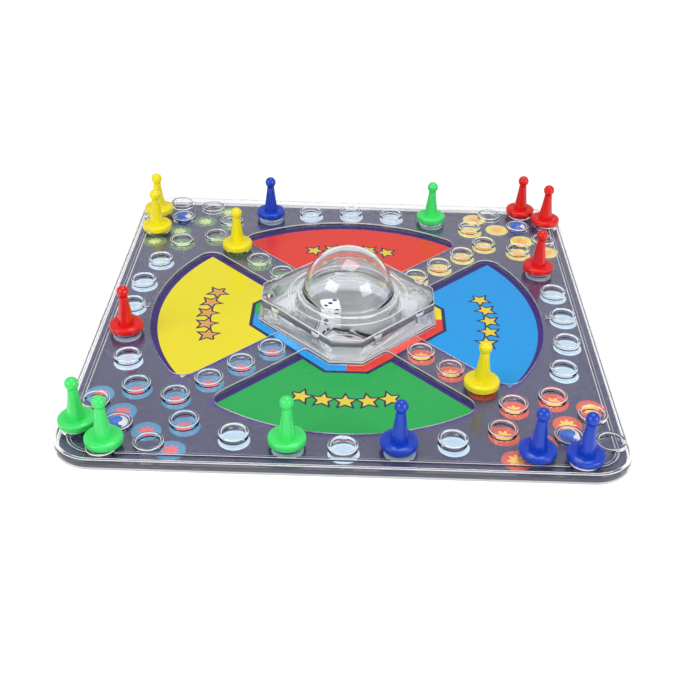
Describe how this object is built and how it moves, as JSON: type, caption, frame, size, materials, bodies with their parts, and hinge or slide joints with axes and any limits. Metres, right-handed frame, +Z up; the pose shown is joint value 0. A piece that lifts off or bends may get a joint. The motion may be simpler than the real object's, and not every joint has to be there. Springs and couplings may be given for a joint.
{
  "type": "pop up dice board game",
  "caption": "Clear-topped square board game with a press dome that pops its die, a printed card under raised collars, and coloured pawns.",
  "frame": {"origin": "middle of the board on the surface it rests on", "axes": "+Z up through the dome; +Y away from the player at the front; +X to that player's right"},
  "size_m": [0.2526, 0.2526, 0.0402],
  "materials": {
    "clear_plastic": "clear moulded polystyrene, glossy",
    "card_print": "printed and laminated card with coloured sectors",
    "clear_base": "clear moulded polystyrene, lightly frosted",
    "stud_blue": "clear blue moulded plastic, faceted",
    "clear_frosted": "clear moulded polystyrene with frosted faces",
    "spring_steel": "cold rolled spring steel",
    "clear_dome": "clear polished polystyrene",
    "die_white": "white moulded plastic with navy pips",
    "pawn_yellow": "glossy moulded plastic",
    "pawn_blue": "glossy moulded plastic",
    "pawn_green": "glossy moulded plastic",
    "pawn_red": "glossy moulded plastic"
  },
  "bodies": {
    "board": {"top_cover": "clear_plastic", "printed_card": "card_print", "base_tray": "clear_base", "corner_studs": "stud_blue", "module_housing": "clear_frosted", "housing_floor": "clear_frosted", "guide_ring": "clear_frosted", "pop_plate": "spring_steel"},
    "press_dome": {"press_dome": "clear_dome", "press_plate": "clear_dome", "press_ring": "clear_dome"},
    "die": {"die": "die_white"},
    "pawn_yellow_1": {"pawn_yellow_1": "pawn_yellow"},
    "pawn_yellow_2": {"pawn_yellow_2": "pawn_yellow"},
    "pawn_yellow_3": {"pawn_yellow_3": "pawn_yellow"},
    "pawn_yellow_4": {"pawn_yellow_4": "pawn_yellow"},
    "pawn_blue_1": {"pawn_blue_1": "pawn_blue"},
    "pawn_blue_2": {"pawn_blue_2": "pawn_blue"},
    "pawn_blue_3": {"pawn_blue_3": "pawn_blue"},
    "pawn_blue_4": {"pawn_blue_4": "pawn_blue"},
    "pawn_green_1": {"pawn_green_1": "pawn_green"},
    "pawn_green_2": {"pawn_green_2": "pawn_green"},
    "pawn_green_3": {"pawn_green_3": "pawn_green"},
    "pawn_green_4": {"pawn_green_4": "pawn_green"},
    "pawn_red_1": {"pawn_red_1": "pawn_red"},
    "pawn_red_2": {"pawn_red_2": "pawn_red"},
    "pawn_red_3": {"pawn_red_3": "pawn_red"},
    "pawn_red_4": {"pawn_red_4": "pawn_red"}
  },
  "joints": [
    {"name": "dome_press", "type": "slide", "parent": "board", "child": "press_dome", "axis": [0, 0, -1], "range_m": [0, 0.0016], "stiffness_N_per_m": 3000, "springref_m": -0.001, "deforming": ["pop_plate"]},
    {"name": "die_hop", "type": "slide", "parent": "board", "child": "die", "axis": [0, 0, 1], "range_m": [0, 0.0095]},
    {"name": "pawn_yellow_1_lift", "type": "slide", "parent": "board", "child": "pawn_yellow_1", "axis": [0, 0, 1], "range_m": [0, 0.03]},
    {"name": "pawn_yellow_2_lift", "type": "slide", "parent": "board", "child": "pawn_yellow_2", "axis": [0, 0, 1], "range_m": [0, 0.03]},
    {"name": "pawn_yellow_3_lift", "type": "slide", "parent": "board", "child": "pawn_yellow_3", "axis": [0, 0, 1], "range_m": [0, 0.03]},
    {"name": "pawn_yellow_4_lift", "type": "slide", "parent": "board", "child": "pawn_yellow_4", "axis": [0, 0, 1], "range_m": [0, 0.03]},
    {"name": "pawn_blue_1_lift", "type": "slide", "parent": "board", "child": "pawn_blue_1", "axis": [0, 0, 1], "range_m": [0, 0.03]},
    {"name": "pawn_blue_2_lift", "type": "slide", "parent": "board", "child": "pawn_blue_2", "axis": [0, 0, 1], "range_m": [0, 0.03]},
    {"name": "pawn_blue_3_lift", "type": "slide", "parent": "board", "child": "pawn_blue_3", "axis": [0, 0, 1], "range_m": [0, 0.03]},
    {"name": "pawn_blue_4_lift", "type": "slide", "parent": "board", "child": "pawn_blue_4", "axis": [0, 0, 1], "range_m": [0, 0.03]},
    {"name": "pawn_green_1_lift", "type": "slide", "parent": "board", "child": "pawn_green_1", "axis": [0, 0, 1], "range_m": [0, 0.03]},
    {"name": "pawn_green_2_lift", "type": "slide", "parent": "board", "child": "pawn_green_2", "axis": [0, 0, 1], "range_m": [0, 0.03]},
    {"name": "pawn_green_3_lift", "type": "slide", "parent": "board", "child": "pawn_green_3", "axis": [0, 0, 1], "range_m": [0, 0.03]},
    {"name": "pawn_green_4_lift", "type": "slide", "parent": "board", "child": "pawn_green_4", "axis": [0, 0, 1], "range_m": [0, 0.03]},
    {"name": "pawn_red_1_lift", "type": "slide", "parent": "board", "child": "pawn_red_1", "axis": [0, 0, 1], "range_m": [0, 0.03]},
    {"name": "pawn_red_2_lift", "type": "slide", "parent": "board", "child": "pawn_red_2", "axis": [0, 0, 1], "range_m": [0, 0.03]},
    {"name": "pawn_red_3_lift", "type": "slide", "parent": "board", "child": "pawn_red_3", "axis": [0, 0, 1], "range_m": [0, 0.03]},
    {"name": "pawn_red_4_lift", "type": "slide", "parent": "board", "child": "pawn_red_4", "axis": [0, 0, 1], "range_m": [0, 0.03]}
  ]
}
